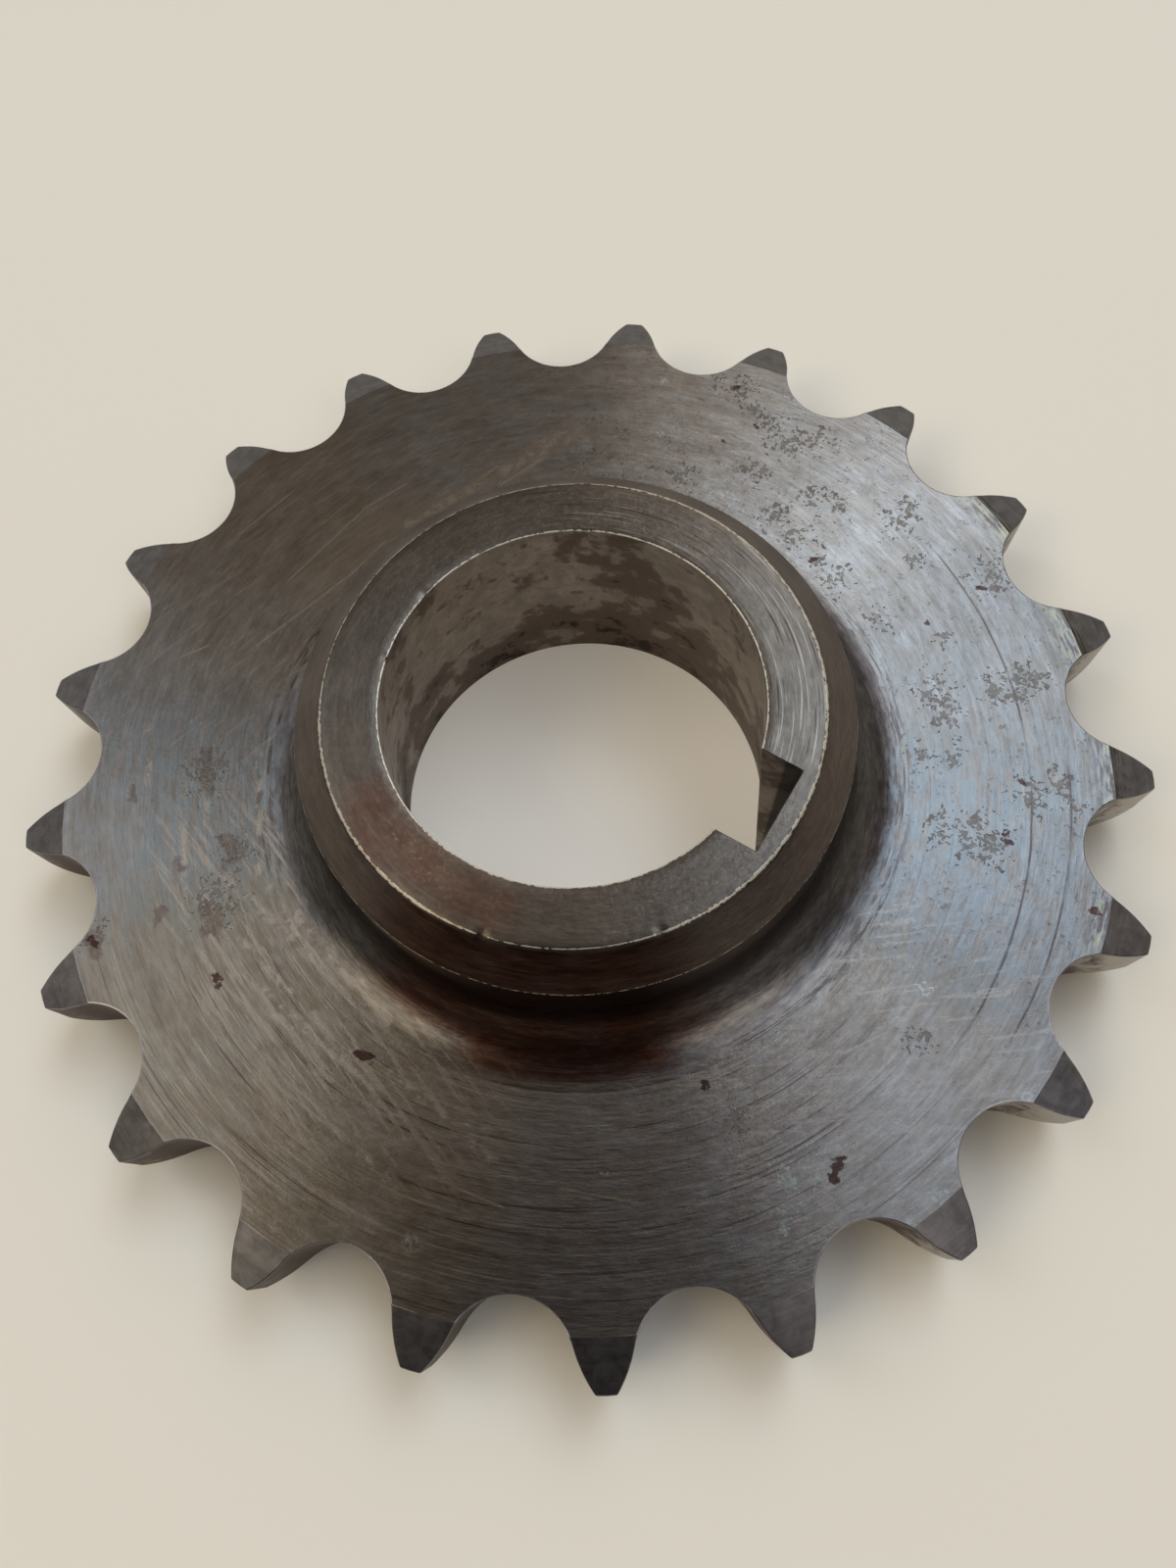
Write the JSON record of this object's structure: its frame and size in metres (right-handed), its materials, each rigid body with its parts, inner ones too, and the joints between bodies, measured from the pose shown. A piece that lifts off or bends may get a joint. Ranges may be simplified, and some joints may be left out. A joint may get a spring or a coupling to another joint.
{
  "type": "chain sprocket",
  "caption": "Roller chain sprocket: a bevelled toothed plate with a filleted hub on one side and a tapered, keywayed bore.",
  "frame": {"origin": "on the bore's axis, in the plane of the back boss's face, which the part lies on", "axes": "+Z along the bore's axis from the back boss to the hub's face, +X through the middle of the keyway"},
  "size_m": [0.0885, 0.0884, 0.0208],
  "materials": {
    "turned_steel": "lathe-turned, oiled dark, lightly pitted and rust-stained"
  },
  "bodies": {
    "root": {"sprocket": "turned_steel"}
  },
  "joints": []
}
